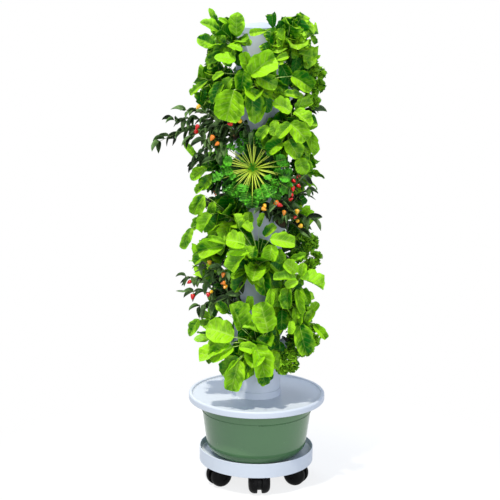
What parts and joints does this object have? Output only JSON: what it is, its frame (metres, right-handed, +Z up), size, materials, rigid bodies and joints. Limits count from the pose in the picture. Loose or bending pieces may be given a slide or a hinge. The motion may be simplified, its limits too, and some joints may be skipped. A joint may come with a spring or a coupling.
{
  "type": "hydroponic tower",
  "caption": "Hydroponic grow tower: stacked column of angled planting pods with leafy plants, on a lidded water tub, on a round dolly with casters.",
  "frame": {"origin": "on the floor, on the column's axis", "axes": "+Z up along the column; -Y is the front that the picture shows, +X is the viewer's right"},
  "size_m": [0.7109, 0.5878, 1.9609],
  "materials": {
    "white_plastic": "smooth moulded, slightly glossy",
    "sage_plastic": "satin moulded, faintly translucent",
    "caster_black": "moulded, satin",
    "wheel_black": "hard moulded wheel, satin",
    "steel": "turned, zinc plated",
    "bush_rubber": "soft, matt",
    "cup_black": "thin moulded basket",
    "growing_plug": "fibrous growing plug",
    "pump_black": "moulded, satin",
    "pipe_white": "extruded pipe",
    "leaf_bright": "living leaf, waxy",
    "leaf_yellow_green": "living leaf, crinkled",
    "leaf_basil": "living leaf, waxy",
    "leaf_curly": "living leaf, curled",
    "leaf_dark": "living leaf, crinkled",
    "leaf_pepper": "living leaf, smooth",
    "fruit": "ripe pepper skin"
  },
  "bodies": {
    "base": {"dolly_tray": "white_plastic", "reservoir_tub": "sage_plastic", "pump_housing": "pump_black", "pump_strainer": "pump_black", "pump_shaft": "steel", "pump_feet": "bush_rubber", "riser_adapter": "pump_black", "riser_pipe": "pipe_white"},
    "tower": {"reservoir_lid": "white_plastic", "port_pivot": "steel", "cord_outlet": "bush_rubber", "column_collar": "white_plastic", "base_tube": "white_plastic", "grow_section_1": "white_plastic", "grow_section_2": "white_plastic", "grow_section_3": "white_plastic", "grow_section_4": "white_plastic", "grow_section_5": "white_plastic", "grow_section_6": "white_plastic", "grow_section_7": "white_plastic", "grow_section_8": "white_plastic", "net_cups": "cup_black", "grow_plugs": "growing_plug", "distributor": "white_plastic", "basil_plants": "leaf_basil", "chili_plants": "leaf_pepper", "lettuce_plants": "leaf_yellow_green", "pak_choi_plants": "leaf_bright", "parsley_plants": "leaf_curly", "tatsoi_plants": "leaf_dark", "chili_fruits": "fruit"},
    "port_cover": {"port_cover": "white_plastic"},
    "top_cap": {"top_cap": "white_plastic"},
    "impeller": {"pump_impeller": "pump_black"},
    "caster_1": {"caster_yoke_1": "caster_black", "caster_stem_1": "steel"},
    "wheels_1": {"caster_wheels_1": "wheel_black", "caster_axle_1": "steel"},
    "caster_2": {"caster_yoke_2": "caster_black", "caster_stem_2": "steel"},
    "wheels_2": {"caster_wheels_2": "wheel_black", "caster_axle_2": "steel"},
    "caster_3": {"caster_yoke_3": "caster_black", "caster_stem_3": "steel"},
    "wheels_3": {"caster_wheels_3": "wheel_black", "caster_axle_3": "steel"},
    "caster_4": {"caster_yoke_4": "caster_black", "caster_stem_4": "steel"},
    "wheels_4": {"caster_wheels_4": "wheel_black", "caster_axle_4": "steel"},
    "caster_5": {"caster_yoke_5": "caster_black", "caster_stem_5": "steel"},
    "wheels_5": {"caster_wheels_5": "wheel_black", "caster_axle_5": "steel"},
    "caster_6": {"caster_yoke_6": "caster_black", "caster_stem_6": "steel"},
    "wheels_6": {"caster_wheels_6": "wheel_black", "caster_axle_6": "steel"}
  },
  "joints": [
    {"name": "caster_swivel_1", "type": "hinge", "parent": "base", "child": "caster_1", "pos_m": [0.01186, -0.16959, 0.1015], "axis": [0, 0, 1], "continuous": true},
    {"name": "wheel_spin_1", "type": "hinge", "parent": "caster_1", "child": "wheels_1", "pos_m": [0.01325, -0.18954, 0.047], "axis": [0.9976, 0.0698, 0], "continuous": true},
    {"name": "caster_swivel_2", "type": "hinge", "parent": "base", "child": "caster_2", "pos_m": [0.15279, -0.07452, 0.1015], "axis": [0, 0, 1], "continuous": true},
    {"name": "wheel_spin_2", "type": "hinge", "parent": "caster_2", "child": "wheels_2", "pos_m": [0.17077, -0.08329, 0.047], "axis": [0.4384, 0.8988, 0], "continuous": true},
    {"name": "caster_swivel_3", "type": "hinge", "parent": "base", "child": "caster_3", "pos_m": [0.14094, 0.09506, 0.1015], "axis": [0, 0, 1], "continuous": true},
    {"name": "wheel_spin_3", "type": "hinge", "parent": "caster_3", "child": "wheels_3", "pos_m": [0.15752, 0.10625, 0.047], "axis": [-0.5592, 0.829, 0], "continuous": true},
    {"name": "caster_swivel_4", "type": "hinge", "parent": "base", "child": "caster_4", "pos_m": [-0.01186, 0.16959, 0.1015], "axis": [0, 0, 1], "continuous": true},
    {"name": "wheel_spin_4", "type": "hinge", "parent": "caster_4", "child": "wheels_4", "pos_m": [-0.01325, 0.18954, 0.047], "axis": [-0.9976, -0.0698, 0], "continuous": true},
    {"name": "caster_swivel_5", "type": "hinge", "parent": "base", "child": "caster_5", "pos_m": [-0.15279, 0.07452, 0.1015], "axis": [0, 0, 1], "continuous": true},
    {"name": "wheel_spin_5", "type": "hinge", "parent": "caster_5", "child": "wheels_5", "pos_m": [-0.17077, 0.08329, 0.047], "axis": [-0.4384, -0.8988, 0], "continuous": true},
    {"name": "caster_swivel_6", "type": "hinge", "parent": "base", "child": "caster_6", "pos_m": [-0.14094, -0.09506, 0.1015], "axis": [0, 0, 1], "continuous": true},
    {"name": "wheel_spin_6", "type": "hinge", "parent": "caster_6", "child": "wheels_6", "pos_m": [-0.15752, -0.10625, 0.047], "axis": [0.5592, -0.829, 0], "continuous": true},
    {"name": "tower_lift", "type": "slide", "parent": "base", "child": "tower", "axis": [0, 0, 1], "range_m": [0, 0.25]},
    {"name": "cap_lift", "type": "slide", "parent": "tower", "child": "top_cap", "axis": [0, 0, 1], "range_m": [0, 0.12]},
    {"name": "port_cover_swing", "type": "hinge", "parent": "tower", "child": "port_cover", "pos_m": [0.05, 0.19, 0.3768], "axis": [0, 0, 1], "range_deg": [0, 150]},
    {"name": "impeller_spin", "type": "hinge", "parent": "base", "child": "impeller", "pos_m": [0, 0, 0.1563], "axis": [0, 1, 0], "continuous": true}
  ]
}
